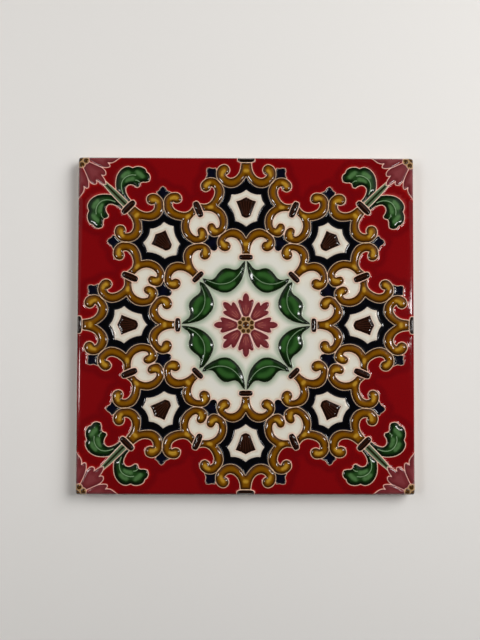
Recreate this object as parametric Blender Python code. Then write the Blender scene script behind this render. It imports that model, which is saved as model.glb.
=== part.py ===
"""Square glazed relief tile, lying flat with its decorated face up.

One fired body: a pressed slab with rounded front edges and a moulded relief of
eight scroll medallions around a leaf wreath and a flower, with a spray of
leaves and a quarter flower in each corner.
All lengths are in millimetres here and turned into metres when the mesh is made.
"""

import math

import bmesh
import bpy
from mathutils import Vector
from mathutils.geometry import delaunay_2d_cdt

# Millimetres to metres
MM = 0.001

# The slab
TILE_SIDE = 200.0
HALF_SIDE = TILE_SIDE / 2.0
GROUND_HEIGHT = 9.0
CORNER_RADIUS = 1.6
CORNER_STEPS = 4
FRONT_ROUND = 2.0
FRONT_ROUND_STEPS = 5
BACK_CHAMFER = 0.5

# Heights of the relief above the ground
SCROLL_RISE = 1.1
KNOT_RISE = 1.3
STAR_RISE = 0.6
BELL_RISE = 1.0
LEAF_RISE = 0.9
PETAL_RISE = 0.9
BEAD_RISE = 1.2

# Each raised form starts a little inside its outline and slopes up to its crest
FOOT_INSET = 0.3
CREST_INSET = 1.05
THIN_CREST_INSET = 0.75
CREST_POINT_GAP = 1.9
KEPT_SHARE = 0.9
SHARP_CORNER = 0.05
SHARPEST_MITRE = 0.4

# Numbers of repeats around the centre
MEDALLIONS = 8
CORNERS = 4

# Glaze colour of the ground, linear
GROUND_RED = (0.165, 0.004, 0.005, 1.0)

# The outlines are written at the scale of the tile's outer edge, seen from 430 mm above it.
# The face stands 2.8 mm nearer to the eye and looks larger, so its real size is this share
FACE_SHARE = 0.9935

# Outlines in a frame whose +Y runs from the tile's centre through the form.
# Half outlines run from the axis to the axis on the right-hand side.

# Outer scroll pair of a medallion: stem, inner curl, bulb and lower edge
OUTER_SCROLL = (
    (0.0, 96.9), (3.2, 96.9), (3.35, 95.2), (3.7, 93.2), (4.6, 91.0), (5.9, 89.4), (7.6, 88.3),
    (9.6, 88.0), (11.2, 88.7), (12.2, 89.8), (11.0, 90.4), (10.2, 91.5), (9.8, 92.9), (10.2, 94.4),
    (11.3, 95.7), (12.8, 96.3), (14.4, 96.1), (16.1, 95.1), (17.3, 93.5), (17.9, 91.4),
    (17.8, 89.0), (16.9, 86.8), (15.6, 85.2), (13.6, 83.6), (11.3, 82.5), (8.6, 82.2),
    (6.0, 82.8), (3.9, 84.1), (2.0, 86.1), (0.0, 88.9),
)

# Whole scroll pair at the side of a medallion, from its inner notch round the upper arm
SIDE_SCROLL = (
    (17.1, 71.2), (15.8, 72.7), (14.3, 75.2), (13.4, 77.9), (13.2, 80.4), (13.8, 82.5),
    (15.0, 84.7), (16.7, 86.6), (18.8, 87.9), (21.0, 88.3), (23.2, 88.0), (25.1, 86.9),
    (26.7, 85.3), (27.3, 83.5), (27.0, 81.8), (26.0, 80.4), (24.4, 79.7), (22.9, 80.1),
    (21.6, 81.2), (21.0, 82.9), (19.5, 81.9), (18.8, 79.9), (19.1, 77.8), (20.1, 75.6),
    (21.7, 73.6), (23.8, 72.5), (26.0, 72.4), (27.6, 72.7), (25.6, 67.9), (23.4, 68.0),
    (21.3, 67.7), (19.4, 66.9), (17.8, 65.6), (16.7, 63.8), (16.1, 61.9), (16.1, 60.0),
    (16.6, 58.6), (17.6, 58.1), (18.2, 59.3), (19.3, 60.7), (20.8, 61.1), (22.4, 60.5),
    (23.3, 58.9), (23.3, 56.9), (22.4, 54.9), (21.2, 53.4), (19.6, 52.7), (17.6, 52.8),
    (15.6, 53.7), (13.7, 55.0), (12.3, 56.6), (11.6, 58.6), (11.2, 61.0), (11.3, 63.3),
    (11.9, 65.5), (13.0, 67.6), (14.7, 69.5),
)

# Inner scroll pair of a medallion: inner notch, outer edge, bulb, inner curl and stem
INNER_SCROLL = (
    (0.0, 51.9), (0.9, 53.5), (2.1, 55.1), (3.7, 56.4), (5.7, 57.3), (7.9, 57.6), (10.0, 57.2),
    (12.0, 56.2), (13.7, 55.0), (15.4, 53.6), (16.7, 51.8), (17.3, 49.7), (17.1, 47.6),
    (16.3, 45.8), (14.8, 44.5), (12.9, 43.8), (11.0, 44.1), (9.6, 45.2), (9.0, 46.9),
    (9.4, 48.6), (10.6, 49.8), (12.3, 50.3), (11.4, 51.4), (9.8, 52.1), (7.9, 52.1),
    (6.1, 51.4), (4.6, 50.1), (3.5, 48.3), (2.8, 46.2), (2.5, 44.2), (2.5, 42.7), (0.0, 42.7),
)

# Eight-pointed star in the middle of a medallion, and the bell on it
STAR = (
    (0.0, 80.9), (2.0, 79.4), (4.2, 78.5), (6.3, 78.0), (8.7, 78.0), (9.0, 76.3), (9.7, 74.3),
    (10.9, 72.4), (9.2, 70.4), (7.8, 68.0), (6.8, 65.1), (6.2, 62.2), (4.1, 61.6), (2.0, 60.5),
    (0.0, 59.0),
)
BELL = (
    (0.0, 76.8), (1.8, 75.9), (3.6, 75.0), (6.3, 74.2), (5.3, 71.8), (4.4, 69.5), (3.5, 67.1),
    (2.8, 65.1), (1.4, 64.2), (0.0, 63.8),
)

# Knots that tie the scrolls: distance from the centre, half length, half width
OUTER_KNOT = (99.5, 5.7, 1.9)
INNER_KNOT = (40.5, 4.3, 1.6)
SIDE_KNOT = (74.8, 5.0, 1.9)
KNOT_SQUARENESS = 0.55
KNOT_STEPS = 12

# One leaf of the inner wreath, from its stalk at the inner knot to its tip at the next one
WREATH_LEAF = (
    (0.5, 38.2), (1.7, 37.3), (2.9, 35.9), (4.2, 34.2), (5.9, 33.4), (7.9, 33.5), (9.8, 34.1),
    (11.6, 34.3), (13.4, 33.9), (15.1, 32.7), (16.8, 30.8), (18.3, 28.7), (20.1, 27.2),
    (22.2, 27.1), (24.2, 27.6), (25.7, 27.5), (24.8, 25.4), (22.7, 23.4), (20.3, 21.8),
    (17.8, 20.6), (15.0, 19.5), (12.1, 19.2), (9.5, 19.8), (7.2, 21.3), (5.0, 23.4),
    (3.2, 25.9), (1.9, 28.8), (1.1, 32.0), (0.6, 35.2),
)

# Half a petal of the central flower, with its side tip and long middle tip
PETAL = (
    (0.0, 5.8), (1.5, 5.9), (2.3, 7.6), (3.3, 10.2), (4.1, 12.6), (4.7, 14.2), (4.2, 15.2),
    (2.6, 15.2), (2.1, 16.8), (1.3, 18.1), (0.0, 19.0),
)
FLOWER_RING_RADIUS = 3.9
FLOWER_BEAD_RADIUS = 1.35
FLOWER_EYE_RADIUS = 1.9

# Corner spray, with +Y running from the tile's centre to the corner
CORNER_PETAL = (
    (0.0, 135.7), (2.3, 135.3), (3.0, 133.6), (3.7, 131.7), (4.5, 129.7), (5.2, 127.8),
    (5.5, 125.8), (5.2, 124.0), (4.0, 123.0), (2.9, 123.4), (2.2, 124.6), (1.9, 122.6),
    (1.3, 120.4), (0.0, 118.6),
)
CORNER_HALF_PETAL = (
    (2.8, 136.2), (3.9, 132.7), (5.0, 129.9), (6.1, 127.5), (7.3, 125.8), (8.9, 124.7),
    (9.9, 125.3), (10.1, 127.2), (11.1, 125.9), (12.6, 125.0), (14.8, 124.5), (19.2, 124.3),
    (8.6, 136.2),
)
CORNER_STEM = ((0.0, 118.0), (2.0, 117.6), (2.0, 101.9), (0.0, 101.9))
CORNER_LEAF = (
    (2.3, 112.2), (3.7, 114.2), (5.6, 116.0), (7.9, 117.6), (10.5, 118.5), (13.2, 118.7),
    (15.6, 118.1), (17.4, 116.8), (18.4, 114.6), (20.4, 113.7), (22.0, 112.2), (23.1, 110.2),
    (23.3, 108.2), (22.6, 106.7), (22.8, 104.9), (21.8, 103.0), (19.7, 101.8), (18.0, 102.7),
    (16.7, 104.0), (15.3, 104.7), (13.3, 103.6), (11.9, 104.3), (11.4, 106.3), (10.4, 108.1),
    (8.7, 109.0), (6.9, 108.7), (5.7, 107.5), (4.7, 105.4), (4.2, 103.4), (4.1, 101.9),
    (2.3, 101.9),
)
CORNER_EYE_RADIUS = 5.2
ROUND_STEPS = 12


def clear_scene():
    """Remove every object that the empty file starts with."""
    for item in list(bpy.data.objects):
        bpy.data.objects.remove(item, do_unlink=True)


def make_material(name, colour, roughness):
    """A Principled material of one colour."""
    material = bpy.data.materials.new(name)
    material.use_nodes = True
    shader = material.node_tree.nodes["Principled BSDF"]
    shader.inputs["Base Color"].default_value = colour
    shader.inputs["Roughness"].default_value = roughness
    return material


def mirrored(points):
    """The same outline on the other side of the axis, running the same way round."""
    return [(-x, y) for x, y in reversed(points)]


def closed_from_half(half):
    """A whole outline from its right-hand half."""
    left = [(-x, y) for x, y in reversed(half) if x > 0.0]
    return list(half) + left


def turned(points, degrees):
    """The outline turned anticlockwise about the tile's centre."""
    cos_t = math.cos(math.radians(degrees))
    sin_t = math.sin(math.radians(degrees))
    return [(x * cos_t - y * sin_t, x * sin_t + y * cos_t) for x, y in points]


def knot_outline(size):
    """Bar with rounded ends, lying across the axis."""
    distance, half_length, half_width = size
    points = []
    for step in range(KNOT_STEPS):
        angle = 2.0 * math.pi * step / KNOT_STEPS
        along = abs(math.cos(angle)) ** KNOT_SQUARENESS
        across = abs(math.sin(angle)) ** KNOT_SQUARENESS
        x = half_length * math.copysign(along, math.cos(angle))
        y = half_width * math.copysign(across, math.sin(angle))
        points.append((x, distance + y))
    return points


def side_knot_outline():
    """Bar between two medallions, lying along the axis."""
    distance, half_length, half_width = SIDE_KNOT
    across = knot_outline((0.0, half_length, half_width))
    return [(y, distance + x) for x, y in across]


def circle_outline(x, y, radius):
    """Regular outline of a round form."""
    points = []
    for step in range(ROUND_STEPS):
        angle = 2.0 * math.pi * step / ROUND_STEPS
        points.append((x + radius * math.cos(angle), y + radius * math.sin(angle)))
    return points


def rounded_square(inset):
    """Corner-rounded square, anticlockwise, moved in from the tile's side by inset."""
    centre = HALF_SIDE - CORNER_RADIUS
    reach = max(CORNER_RADIUS - inset, 0.0)
    shift = max(inset - CORNER_RADIUS, 0.0)
    points = []
    for quarter in range(4):
        corner = []
        for step in range(CORNER_STEPS + 1):
            angle = step / CORNER_STEPS * math.pi / 2.0
            x = centre - shift + reach * math.cos(angle)
            y = centre - shift + reach * math.sin(angle)
            corner.append((x, y))
            if reach == 0.0:
                break
        points.extend(turned(corner, 90.0 * quarter))
    return points


def edge_distance(x, y):
    """Distance from a point on the face in to the tile's rounded-square outline."""
    centre = HALF_SIDE - CORNER_RADIUS
    over_x, over_y = abs(x) - centre, abs(y) - centre
    if over_x > 0.0 and over_y > 0.0:
        return CORNER_RADIUS - math.hypot(over_x, over_y)
    return CORNER_RADIUS - max(over_x, over_y)


def ground_height(x, y):
    """Height of the plain face, which rolls over at the tile's edge."""
    depth = FRONT_ROUND - min(max(edge_distance(x, y), 0.0), FRONT_ROUND)
    return GROUND_HEIGHT - FRONT_ROUND + math.sqrt(max(FRONT_ROUND ** 2 - depth ** 2, 0.0))


def segment_distance(point, start, end):
    """Distance from a point to a straight stretch."""
    px, py = point[0] - start[0], point[1] - start[1]
    dx, dy = end[0] - start[0], end[1] - start[1]
    share = max(0.0, min(1.0, (px * dx + py * dy) / (dx * dx + dy * dy)))
    return math.hypot(px - share * dx, py - share * dy)


def outline_distance(point, outline):
    """Distance from a point to an outline."""
    ends = outline[1:] + outline[:1]
    return min(segment_distance(point, start, end) for start, end in zip(outline, ends))


def inside(point, outline):
    """Whether a point lies inside an outline, counted by the sides that it looks across."""
    x, y = point
    hit = False
    for (x0, y0), (x1, y1) in zip(outline, outline[1:] + outline[:1]):
        if (y0 > y) != (y1 > y) and x < (x1 - x0) * (y - y0) / (y1 - y0) + x0:
            hit = not hit
    return hit


def signed_area(outline):
    """Area of an outline, positive when it runs anticlockwise."""
    ends = outline[1:] + outline[:1]
    return 0.5 * sum(x0 * y1 - x1 * y0 for (x0, y0), (x1, y1) in zip(outline, ends))


def side_normal(start, end, side):
    """Unit normal of a straight stretch, towards the inside of its outline."""
    dx, dy = end[0] - start[0], end[1] - start[1]
    length = math.hypot(dx, dy)
    return -side * dy / length, side * dx / length


def inset_outline(outline, distance):
    """The outline moved inwards, without the points that narrow stretches have no room for."""
    side = math.copysign(1.0, signed_area(outline))
    kept = []
    count = len(outline)
    for index in range(count):
        here = outline[index]
        ahead = side_normal(here, outline[(index + 1) % count], side)
        behind = side_normal(outline[index - 1], here, side)
        nx, ny = ahead[0] + behind[0], ahead[1] + behind[1]
        length = math.hypot(nx, ny)
        if length < SHARP_CORNER:
            continue
        mitre = distance / max(length / 2.0, SHARPEST_MITRE)
        moved = (here[0] + nx / length * mitre, here[1] + ny / length * mitre)
        if inside(moved, outline) and outline_distance(moved, outline) > KEPT_SHARE * distance:
            kept.append(moved)
    return kept


def thinned(outline, gap):
    """The outline without points that stand closer than gap to the last one kept."""
    kept = []
    for point in outline:
        if not kept or math.dist(kept[-1], point) >= gap:
            kept.append(point)
    return kept


class RaisedForm:
    """A form that stands on the ground, sloping up from its foot to a level crest."""

    def __init__(self, outline, rise, crest_inset, base_rise=0.0):
        real = [(x * FACE_SHARE, y * FACE_SHARE) for x, y in outline]
        self.foot = inset_outline(real, FOOT_INSET)
        self.crest = thinned(inset_outline(self.foot, crest_inset - FOOT_INSET), CREST_POINT_GAP)
        self.rise = rise
        self.base_rise = base_rise
        self.slope = crest_inset - FOOT_INSET
        xs = [x for x, _ in self.foot]
        ys = [y for _, y in self.foot]
        self.box = (min(xs), max(xs), min(ys), max(ys))

    def height(self, x, y):
        """Height of the form above the ground at a point, or zero outside it."""
        low_x, high_x, low_y, high_y = self.box
        if not (low_x < x < high_x and low_y < y < high_y):
            return 0.0
        if not inside((x, y), self.foot):
            return 0.0
        share = outline_distance((x, y), self.foot) / (self.slope * KEPT_SHARE)
        return self.base_rise + (self.rise - self.base_rise) * min(share, 1.0)


def medallion_forms(turn):
    """Scrolls, star, bell and knots of one medallion."""
    side = list(SIDE_SCROLL)
    outlines = (
        (closed_from_half(OUTER_SCROLL), SCROLL_RISE, CREST_INSET, 0.0),
        (side, SCROLL_RISE, CREST_INSET, 0.0),
        (mirrored(side), SCROLL_RISE, CREST_INSET, 0.0),
        (closed_from_half(INNER_SCROLL), SCROLL_RISE, CREST_INSET, 0.0),
        (closed_from_half(STAR), STAR_RISE, THIN_CREST_INSET, 0.0),
        (closed_from_half(BELL), BELL_RISE, THIN_CREST_INSET, STAR_RISE),
        (knot_outline(OUTER_KNOT), KNOT_RISE, CREST_INSET, 0.0),
        (knot_outline(INNER_KNOT), KNOT_RISE, CREST_INSET, 0.0),
        (turned(side_knot_outline(), 180.0 / MEDALLIONS), KNOT_RISE, CREST_INSET, 0.0),
    )
    return [RaisedForm(turned(line, turn), rise, inset, base) for line, rise, inset, base in outlines]


def wreath_and_flower_forms():
    """Leaves around the middle, petals, and the beads of the flower's eye."""
    forms = []
    for index in range(CORNERS):
        turn = 360.0 / CORNERS * index
        for leaf in (list(WREATH_LEAF), mirrored(WREATH_LEAF)):
            forms.append(RaisedForm(turned(leaf, turn), LEAF_RISE, CREST_INSET))
    for index in range(MEDALLIONS):
        turn = 360.0 / MEDALLIONS * index
        petal = turned(closed_from_half(PETAL), turn)
        forms.append(RaisedForm(petal, PETAL_RISE, THIN_CREST_INSET))
        bead = circle_outline(0.0, FLOWER_RING_RADIUS, FLOWER_BEAD_RADIUS)
        bead = turned(bead, turn + 180.0 / MEDALLIONS)
        forms.append(RaisedForm(bead, BEAD_RISE, THIN_CREST_INSET))
    eye = circle_outline(0.0, 0.0, FLOWER_EYE_RADIUS)
    forms.append(RaisedForm(eye, BEAD_RISE, THIN_CREST_INSET))
    return forms


def corner_forms(turn):
    """Quarter flower, stem and the two leaves of one corner."""
    corner_distance = HALF_SIDE * math.sqrt(2.0)
    outlines = [
        (closed_from_half(CORNER_PETAL), PETAL_RISE),
        (closed_from_half(CORNER_STEM), LEAF_RISE),
        (circle_outline(0.0, corner_distance, CORNER_EYE_RADIUS), BEAD_RISE),
    ]
    for line in (CORNER_HALF_PETAL, CORNER_LEAF):
        rise = PETAL_RISE if line is CORNER_HALF_PETAL else LEAF_RISE
        outlines.append((list(line), rise))
        outlines.append((mirrored(line), rise))
    return [RaisedForm(turned(line, turn), rise, THIN_CREST_INSET) for line, rise in outlines]


def all_forms():
    """Every raised form of the tile."""
    forms = []
    for index in range(MEDALLIONS):
        forms.extend(medallion_forms(360.0 / MEDALLIONS * index))
    forms.extend(wreath_and_flower_forms())
    for index in range(CORNERS):
        forms.extend(corner_forms(360.0 / CORNERS * (index + 0.5)))
    return forms


def face_height(x, y, forms):
    """Height of the decorated face, whose relief fades out over the rounded edge."""
    rise = max((form.height(x, y) for form in forms), default=0.0)
    fade = min(max(edge_distance(x, y) / FRONT_ROUND, 0.0), 1.0)
    return ground_height(x, y) + rise * fade


def face_lines(forms):
    """Closed lines that the face's triangles follow: edge rings, feet and crests."""
    lines = []
    for step in range(FRONT_ROUND_STEPS + 1):
        angle = step / FRONT_ROUND_STEPS * math.pi / 2.0
        lines.append(rounded_square(FRONT_ROUND * (1.0 - math.cos(angle))))
    for form in forms:
        lines.append(form.foot)
        if len(form.crest) > 2:
            lines.append(form.crest)
    return lines


def triangulated_face(forms):
    """Points and triangles of the decorated face, seen from above."""
    points, edges = [], []
    for line in face_lines(forms):
        first = len(points)
        points.extend(Vector(point) for point in line)
        count = len(line)
        edges.extend((first + step, first + (step + 1) % count) for step in range(count))
    result = delaunay_2d_cdt(points, edges, [], 0, 1e-4)
    return result[0], result[2]


def build_face(build, forms):
    """Add the decorated face, leaving out what lies beyond the tile's outline."""
    points, triangles = triangulated_face(forms)
    verts = {}
    for triangle in triangles:
        middle = sum((points[corner] for corner in triangle), Vector((0.0, 0.0))) / 3.0
        if edge_distance(middle.x, middle.y) <= 0.0:
            continue
        for corner in triangle:
            if corner not in verts:
                x, y = points[corner]
                spot = (x * MM, y * MM, face_height(x, y, forms) * MM)
                verts[corner] = build.verts.new(spot)
        build.faces.new([verts[corner] for corner in triangle])


def drop_ring(build, ring, shrink, height):
    """Carry an open edge loop down to a height, drawn in by shrink, and return the new loop."""
    result = bmesh.ops.extrude_edge_only(build, edges=ring)
    for vert in (item for item in result["geom"] if isinstance(item, bmesh.types.BMVert)):
        vert.co.x *= 1.0 - shrink / HALF_SIDE
        vert.co.y *= 1.0 - shrink / HALF_SIDE
        vert.co.z = height * MM
    return [item for item in result["geom"] if isinstance(item, bmesh.types.BMEdge) and item.is_boundary]


def make_tile():
    """The tile as one closed mesh, its back face on z = 0."""
    build = bmesh.new()
    build_face(build, all_forms())
    rim = [edge for edge in build.edges if edge.is_boundary]
    low = drop_ring(build, rim, 0.0, BACK_CHAMFER)
    back = drop_ring(build, low, BACK_CHAMFER, 0.0)
    bmesh.ops.contextual_create(build, geom=back)
    bmesh.ops.recalc_face_normals(build, faces=build.faces)
    mesh = bpy.data.meshes.new("azulejo_tile")
    build.to_mesh(mesh)
    build.free()
    tile = bpy.data.objects.new("azulejo_tile", mesh)
    bpy.context.scene.collection.objects.link(tile)
    mesh.materials.append(make_material("glazed_earthenware", GROUND_RED, 0.15))
    return tile


clear_scene()
make_tile()
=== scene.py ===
"""Glazed relief wall tile lying face up on a pale floor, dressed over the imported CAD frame.

The tile is one fired body. Its relief is drawn as cells: thin raised clay lines hold
pools of coloured glaze, which run thin and light over high clay and thick and dark
beside the lines. One eighth of the face is made and then mirrored and turned.
"""

from __future__ import annotations

import logging
import math
from dataclasses import dataclass, field
from enum import Enum
from itertools import groupby
from typing import Any, Callable, Iterable

import bpy
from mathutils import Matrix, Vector
from mathutils.geometry import delaunay_2d_cdt
from mathutils.kdtree import KDTree


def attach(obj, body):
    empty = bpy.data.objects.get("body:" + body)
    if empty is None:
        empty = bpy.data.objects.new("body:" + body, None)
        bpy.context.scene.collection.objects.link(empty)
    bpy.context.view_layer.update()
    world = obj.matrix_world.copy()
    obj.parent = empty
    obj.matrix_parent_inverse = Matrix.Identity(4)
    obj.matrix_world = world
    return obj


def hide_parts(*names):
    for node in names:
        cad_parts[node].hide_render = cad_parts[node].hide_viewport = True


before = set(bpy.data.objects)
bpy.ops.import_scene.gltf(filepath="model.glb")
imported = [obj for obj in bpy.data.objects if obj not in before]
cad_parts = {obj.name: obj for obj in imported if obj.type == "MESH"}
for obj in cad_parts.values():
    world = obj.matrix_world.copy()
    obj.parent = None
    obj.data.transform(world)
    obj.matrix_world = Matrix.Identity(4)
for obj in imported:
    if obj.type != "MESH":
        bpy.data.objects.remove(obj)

LOG = logging.getLogger("tile")

Point = tuple[float, float]
Line = list[Point]
Runs = tuple[tuple[Point, ...], ...]

# Millimetres to metres
MM = 0.001


def linear(hex_colour: str) -> tuple[float, float, float, float]:
    """Turn an sRGB hex colour to linear.

    Args:
        hex_colour: six hex digits.

    Returns:
        Linear red, green, blue and an alpha of one.
    """
    parts = [int(hex_colour[start:start + 2], 16) / 255.0 for start in (0, 2, 4)]
    bent = [part / 12.92 if part <= 0.04045 else ((part + 0.055) / 1.055) ** 2.4 for part in parts]
    return bent[0], bent[1], bent[2], 1.0


def add_node(tree: bpy.types.NodeTree, kind: str, settings: dict[str, Any] | None = None,
             inputs: dict[Any, Any] | None = None) -> bpy.types.Node:
    """Add a node with its settings and links.

    Args:
        tree: node tree that takes the node.
        kind: node type name.
        settings: properties of the node; "stops" fills its colour ramp.
        inputs: values for its sockets, or output sockets to link to them.

    Returns:
        The new node.
    """
    node = tree.nodes.new(kind)
    for name, value in (settings or {}).items():
        if name == "stops":
            elements = node.color_ramp.elements
            while len(elements) < len(value):
                elements.new(1.0)
            for element, (place, colour) in zip(elements, value):
                element.position = place
                element.color = colour
        else:
            setattr(node, name, value)
    for name, value in (inputs or {}).items():
        if isinstance(value, bpy.types.NodeSocket):
            tree.links.new(value, node.inputs[name])
        else:
            node.inputs[name].default_value = value
    return node


class Glaze(Enum):
    """The glazes and bare clays of the tile, as material names."""

    RED = "oxblood_red_glaze"
    NAVY = "cobalt_black_glaze"
    WHITE = "tin_white_glaze"
    STAR = "milk_white_glaze"
    AMBER = "honey_amber_glaze"
    BROWN = "manganese_brown_glaze"
    GREEN = "copper_green_glaze"
    WREATH = "bottle_green_glaze"
    STEM = "stem_green_glaze"
    ROSE = "rose_pink_glaze"
    OLIVE = "olive_gold_glaze"
    SIDE = "biscuit_side_with_glaze_run"
    BACK = "bare_biscuit_back"


def start_material(name: str) -> tuple[bpy.types.Material, bpy.types.NodeTree, bpy.types.Node]:
    """Start a material.

    Args:
        name: the material's name.

    Returns:
        The material, its nodes and its Principled shader.
    """
    made = bpy.data.materials.new(name)
    made.use_nodes = True
    return made, made.node_tree, made.node_tree.nodes["Principled BSDF"]


@dataclass(frozen=True)
class GlazeFinish:
    """Fired glossy glaze: deep colour where it pools, light where the clay stands high.

    The eye gets a wet glassy surface, a slow drift of tone over a few millimetres and a
    darker rim along every raised line. The stops give the pool's colour at distances from
    that line. On the white, red, brown and stem glazes the stops or the rib colour also hold
    painted shade, painted reflection or painted highlight, as each says. A colour over the
    tops, the ribs or near the leaves is left out where it is empty.
    """

    name: Glaze
    stops: tuple[tuple[float, str], ...]
    # Slow drift of tone, and a fine grain that is drawn as coarse as it needs to show
    drift_mm: float = 9.0
    drift: float = 0.12
    speck_mm: float = 0.9
    speck: float = 0.04
    roughness: float = 0.1
    ior: float = 1.52
    # Waves of the fired surface
    ripple_mm: float = 2.6
    ripple_depth_mm: float = 0.02
    # Veins and flutes: distances at which their colour is gone and full
    rib_colour: str = ""
    rib_mm: tuple[float, float] = (0.4, 0.08)
    # Raised line: its clay, how much of it shows, its half width and the blur of its edge,
    # its roughness, and the distances at which the full gloss and that roughness are reached
    clay: str = "EAC3AC"
    clay_share: float = 0.8
    clay_waver: float = 0.1
    line_half_mm: float = 0.20
    line_blur_mm: float = 0.09
    line_roughness: float = 0.36
    gloss_mm: tuple[float, float] = (0.8, 0.25)
    # Stain from the green leaves
    tint: str = ""
    tint_mm: tuple[float, float] = (4.0, 0.2)
    tint_share: float = 0.75
    # High spots, where the glaze runs thin, and how far inside the line they start
    top_colour: str = ""
    top_mm: tuple[float, float] = (3.2, 0.4)
    top_inside_mm: tuple[float, float] = (0.7, 2.2)

    def material(self) -> bpy.types.Material:
        """Build the material.

        Returns:
            A Principled glaze that reads the distance to the nearest raised line.
        """
        made, tree, shader = start_material(self.name.value)
        place = add_node(tree, "ShaderNodeTexCoord").outputs["Object"]
        edge = add_node(tree, "ShaderNodeAttribute", {"attribute_name": "edge_mm"}).outputs["Fac"]
        speck = add_node(tree, "ShaderNodeTexNoise", {}, {
            "Vector": place, "Scale": 1.0 / (self.speck_mm * MM), "Detail": 2.0}).outputs["Fac"]
        tone = self._pool(tree, place, edge, speck)
        if self.top_colour:
            inner = add_node(tree, "ShaderNodeMapRange", {"interpolation_type": "SMOOTHSTEP"}, {
                "Value": edge, "From Min": self.top_inside_mm[0], "From Max": self.top_inside_mm[1]})
            tone = self._near(tree, tone, "top_mm", self.top_mm, self.top_colour, inner.outputs["Result"])
        if self.rib_colour:
            tone = self._near(tree, tone, "rib_mm", self.rib_mm, self.rib_colour)
        tone = self._with_line(tree, tone, edge, speck)
        if self.tint:
            tone = self._near(tree, tone, "leaf_mm", self.tint_mm, self.tint, self.tint_share)
        tree.links.new(tone, shader.inputs["Base Color"])
        rough = add_node(tree, "ShaderNodeMapRange", {"interpolation_type": "SMOOTHSTEP"}, {
            "Value": edge, "From Min": self.gloss_mm[0], "From Max": self.gloss_mm[1],
            "To Min": self.roughness, "To Max": self.line_roughness})
        tree.links.new(rough.outputs["Result"], shader.inputs["Roughness"])
        ripple = add_node(tree, "ShaderNodeTexNoise", {}, {
            "Vector": place, "Scale": 1.0 / (self.ripple_mm * MM), "Detail": 1.5})
        bump = add_node(tree, "ShaderNodeBump", {}, {
            "Height": ripple.outputs["Fac"], "Distance": self.ripple_depth_mm * MM, "Strength": 1.0})
        tree.links.new(bump.outputs["Normal"], shader.inputs["Normal"])
        shader.inputs["IOR"].default_value = self.ior
        return made

    def _pool(self, tree: bpy.types.NodeTree, place: bpy.types.NodeSocket, edge: bpy.types.NodeSocket,
              speck: bpy.types.NodeSocket) -> bpy.types.NodeSocket:
        """Colour the pool by the distance to the raised line, with a drift and a fine grain.

        Args:
            tree: the material's nodes.
            place: place on the tile.
            edge: distance to the line, in millimetres.
            speck: fine noise.

        Returns:
            The pool's colour.
        """
        reach = self.stops[-1][0]
        drift = add_node(tree, "ShaderNodeTexNoise", {}, {
            "Vector": place, "Scale": 1.0 / (self.drift_mm * MM), "Detail": 3.0}).outputs["Fac"]
        share = add_node(tree, "ShaderNodeMath", {"operation": "MULTIPLY_ADD"}, {
            0: edge, 1: 1.0 / reach, 2: -0.5 * (self.drift + self.speck)})
        for noise, much in ((drift, self.drift), (speck, self.speck)):
            share = add_node(tree, "ShaderNodeMath", {"operation": "MULTIPLY_ADD"}, {
                0: noise, 1: much, 2: share.outputs[0]})
        stops = [(at / reach, linear(colour)) for at, colour in self.stops]
        ramp = add_node(tree, "ShaderNodeValToRGB", {"stops": stops}, {"Fac": share.outputs[0]})
        return ramp.outputs["Color"]

    @staticmethod
    def _near(tree: bpy.types.NodeTree, tone: bpy.types.NodeSocket, attribute: str,
              reach: tuple[float, float], colour: str,
              most: float | bpy.types.NodeSocket = 1.0) -> bpy.types.NodeSocket:
        """Mix in a colour where a distance carried by the mesh is small.

        Args:
            tree: the material's nodes.
            tone: colour elsewhere.
            attribute: name of the distance, in millimetres.
            reach: distances at which the colour is gone and full.
            colour: the colour, in hex.
            most: its greatest share.

        Returns:
            The mixed colour.
        """
        span = add_node(tree, "ShaderNodeAttribute", {"attribute_name": attribute}).outputs["Fac"]
        near = add_node(tree, "ShaderNodeMapRange", {"interpolation_type": "SMOOTHSTEP"}, {
            "Value": span, "From Min": reach[0], "From Max": reach[1]}).outputs["Result"]
        share = add_node(tree, "ShaderNodeMath", {"operation": "MULTIPLY"}, {0: near, 1: most})
        mixed = add_node(tree, "ShaderNodeMix", {"data_type": "RGBA"}, {
            "Factor": share.outputs[0], 6: tone, 7: linear(colour)})
        return mixed.outputs[2]

    def _with_line(self, tree: bpy.types.NodeTree, tone: bpy.types.NodeSocket,
                   edge: bpy.types.NodeSocket, speck: bpy.types.NodeSocket) -> bpy.types.NodeSocket:
        """Show the clay of the raised line through a breath of this glaze.

        Args:
            tree: the material's nodes.
            tone: colour of the pool.
            edge: distance to the line, in millimetres.
            speck: fine noise that breaks the stain.

        Returns:
            The colour with the line in it.
        """
        crest = add_node(tree, "ShaderNodeMapRange", {"interpolation_type": "SMOOTHSTEP"}, {
            "Value": edge, "From Min": self.line_half_mm + self.line_blur_mm,
            "From Max": self.line_half_mm - self.line_blur_mm})
        bare = add_node(tree, "ShaderNodeMapRange", {}, {
            "Value": speck, "From Min": 0.3, "From Max": 0.7,
            "To Min": self.clay_share - self.clay_waver, "To Max": self.clay_share + self.clay_waver})
        stained = add_node(tree, "ShaderNodeMix", {"data_type": "RGBA"}, {
            "Factor": bare.outputs["Result"], 6: linear(self.stops[0][1]), 7: linear(self.clay)})
        mixed = add_node(tree, "ShaderNodeMix", {"data_type": "RGBA"}, {
            "Factor": crest.outputs["Result"], 6: tone, 7: stained.outputs[2]})
        return mixed.outputs[2]


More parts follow.
